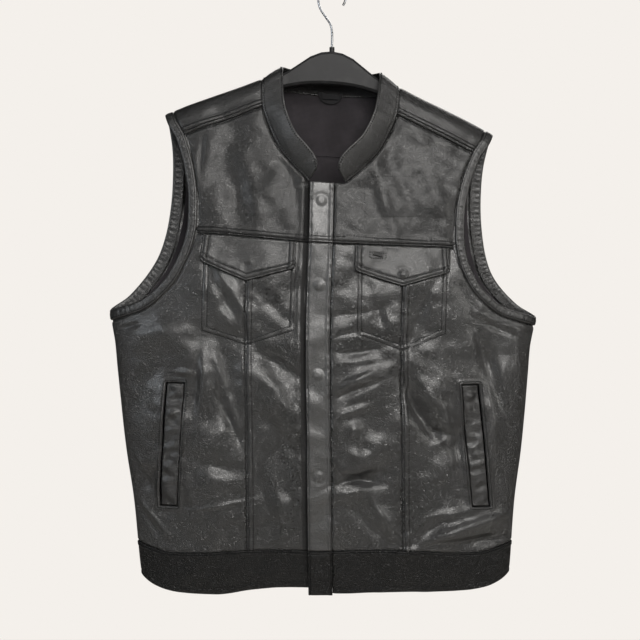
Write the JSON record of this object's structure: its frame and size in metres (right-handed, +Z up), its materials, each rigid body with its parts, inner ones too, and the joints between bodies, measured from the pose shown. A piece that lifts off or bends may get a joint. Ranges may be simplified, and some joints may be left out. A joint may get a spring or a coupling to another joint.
{
  "type": "leather vest on a coat hanger",
  "caption": "Black leather vest with a stand collar, snap front, flap and welt pockets, hanging on a plastic hanger with a steel hook.",
  "frame": {"origin": "underside of the hook's crown, where the rod that carries the hanger touches it", "axes": "+Z up, the vest's front faces -Y, the wearer's left is +X"},
  "size_m": [0.5616, 0.0969, 0.7993],
  "materials": {
    "leather": "semi-gloss, pebbled grain",
    "lining": "matt mesh",
    "label": "matt woven",
    "hanger_plastic": "satin",
    "hook_steel": "polished",
    "snap_metal": "dark satin"
  },
  "bodies": {
    "root": {"yoke_left": "leather", "chest_left": "leather", "centre_left": "leather", "side_left": "leather", "welt_left": "leather", "flap_left": "leather", "binding_left": "leather", "yoke_right": "leather", "chest_right": "leather", "centre_right": "leather", "side_right": "leather", "welt_right": "leather", "flap_right": "leather", "binding_right": "leather", "placket_chest": "leather", "placket_body": "leather", "placket_band": "leather", "band_left": "leather", "band_right": "leather", "band_back": "leather", "back_panel": "leather", "collar": "leather", "lining_back": "lining", "hanging_loop": "lining", "size_tab": "label", "neck_label": "label", "hanger_body": "hanger_plastic", "hanger_hook": "hook_steel", "snap_1": "snap_metal", "snap_2": "snap_metal", "snap_3": "snap_metal", "snap_4": "snap_metal", "snap_5": "snap_metal", "flap_snap_left": "snap_metal", "flap_snap_right": "snap_metal"}
  },
  "joints": []
}
